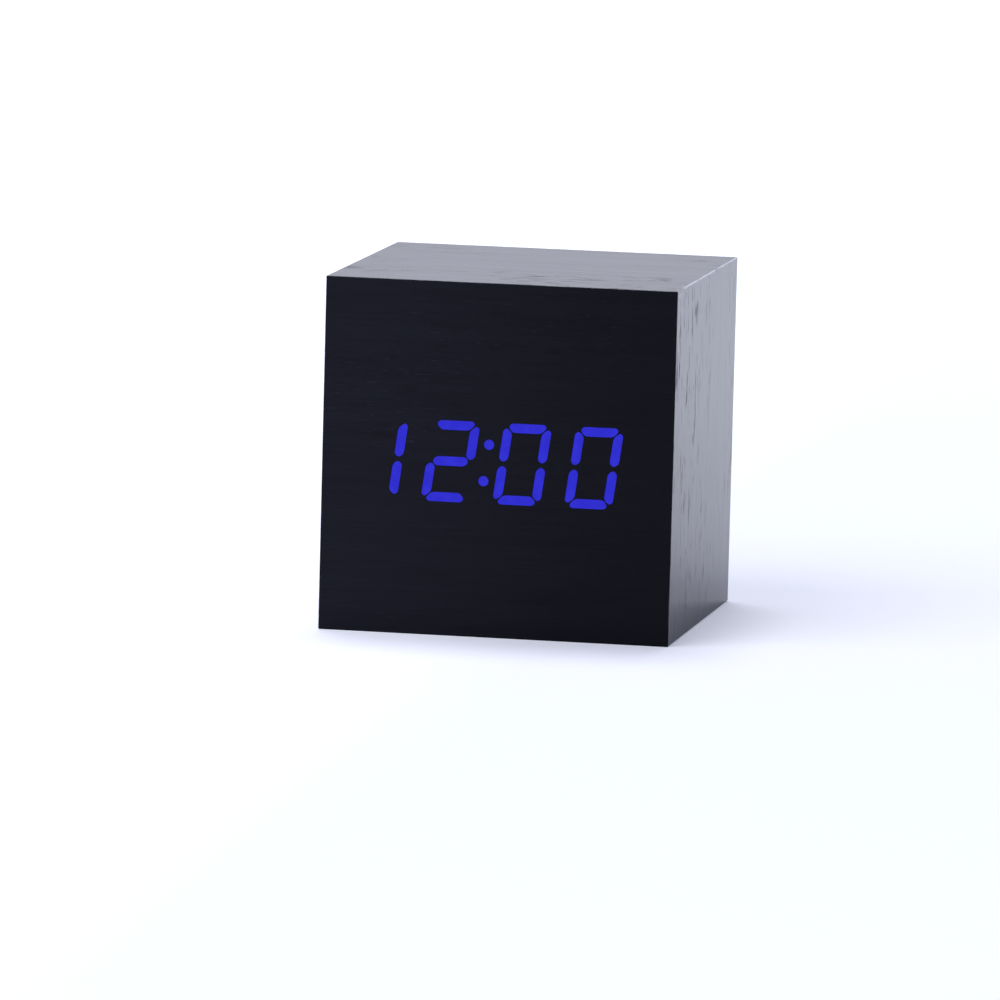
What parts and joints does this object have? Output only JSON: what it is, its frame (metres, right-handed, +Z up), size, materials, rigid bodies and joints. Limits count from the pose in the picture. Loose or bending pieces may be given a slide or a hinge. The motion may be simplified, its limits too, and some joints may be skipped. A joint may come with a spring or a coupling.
{
  "type": "digital clock",
  "caption": "Black wood-grain cube clock that shows the time in blue light bars on its front, with rear buttons, a power socket and a hinged battery door in its base.",
  "frame": {"origin": "middle of the base, on the surface that the cube stands on", "axes": "+Z up, the front with the digits faces -Y, +X to the right as the digits are read"},
  "size_m": [0.062, 0.062, 0.062],
  "materials": {
    "black_wood": "satin black wood-grain foil over board",
    "grain_film": "satin black wood-grain film",
    "blue_light": "lit light bar",
    "smoked_light": "unlit light bar behind the film's print",
    "black_plastic": "fine moulded texture",
    "black_resin": "moulded resin",
    "circuit_board": "green solder mask",
    "white_plastic": "moulded",
    "steel": "zinc plated",
    "nickel": "nickel plated",
    "bare_aluminium": "drawn can",
    "cell_jacket": "printed jacket, plain grey with a dull green band",
    "grey_cable": "soft insulation",
    "red_insulation": "soft insulation",
    "black_insulation": "soft insulation"
  },
  "bodies": {
    "case": {"top_panel": "black_wood", "bottom_panel": "black_wood", "left_panel": "black_wood", "right_panel": "black_wood", "front_panel": "black_wood", "rear_panel": "black_wood", "front_film": "grain_film", "lit_segments": "blue_light", "unlit_segments": "smoked_light", "segment_mask": "black_plastic", "display_board": "circuit_board", "led_chips": "white_plastic", "display_screws": "steel", "clock_chip": "black_resin", "crystal": "bare_aluminium", "buzzer": "black_resin", "capacitor": "bare_aluminium", "driver_transistors": "black_resin", "resistors": "black_resin", "battery_header": "white_plastic", "key_header": "white_plastic", "control_plate": "black_plastic", "plate_screws": "steel", "switch_bodies": "black_resin", "control_board": "circuit_board", "control_board_screws": "steel", "power_jack": "black_resin", "jack_pin": "nickel", "microphone": "bare_aluminium", "key_cable": "grey_cable", "battery_box": "black_plastic", "box_screws": "steel", "battery_cells": "cell_jacket", "contact_springs": "nickel", "positive_contact": "nickel", "negative_contact": "nickel", "left_link_contact": "nickel", "right_link_contact": "nickel", "red_lead": "red_insulation", "black_lead": "black_insulation"},
    "set_key": {"set_button": "black_plastic", "set_plunger": "black_resin"},
    "up_key": {"up_button": "black_plastic", "up_plunger": "black_resin"},
    "down_key": {"down_button": "black_plastic", "down_plunger": "black_resin"},
    "door": {"battery_door": "black_plastic"}
  },
  "joints": [
    {"name": "set_key_press", "type": "slide", "parent": "case", "child": "set_key", "axis": [0, -1, 0], "range_m": [0, 0.0003], "stiffness_N_per_m": 3000},
    {"name": "up_key_press", "type": "slide", "parent": "case", "child": "up_key", "axis": [0, -1, 0], "range_m": [0, 0.0003], "stiffness_N_per_m": 3000},
    {"name": "down_key_press", "type": "slide", "parent": "case", "child": "down_key", "axis": [0, -1, 0], "range_m": [0, 0.0003], "stiffness_N_per_m": 3000},
    {"name": "door_hinge", "type": "hinge", "parent": "case", "child": "door", "pos_m": [0, -0.0153, 0.0016], "axis": [-1, 0, 0], "range_deg": [0, 95]}
  ]
}
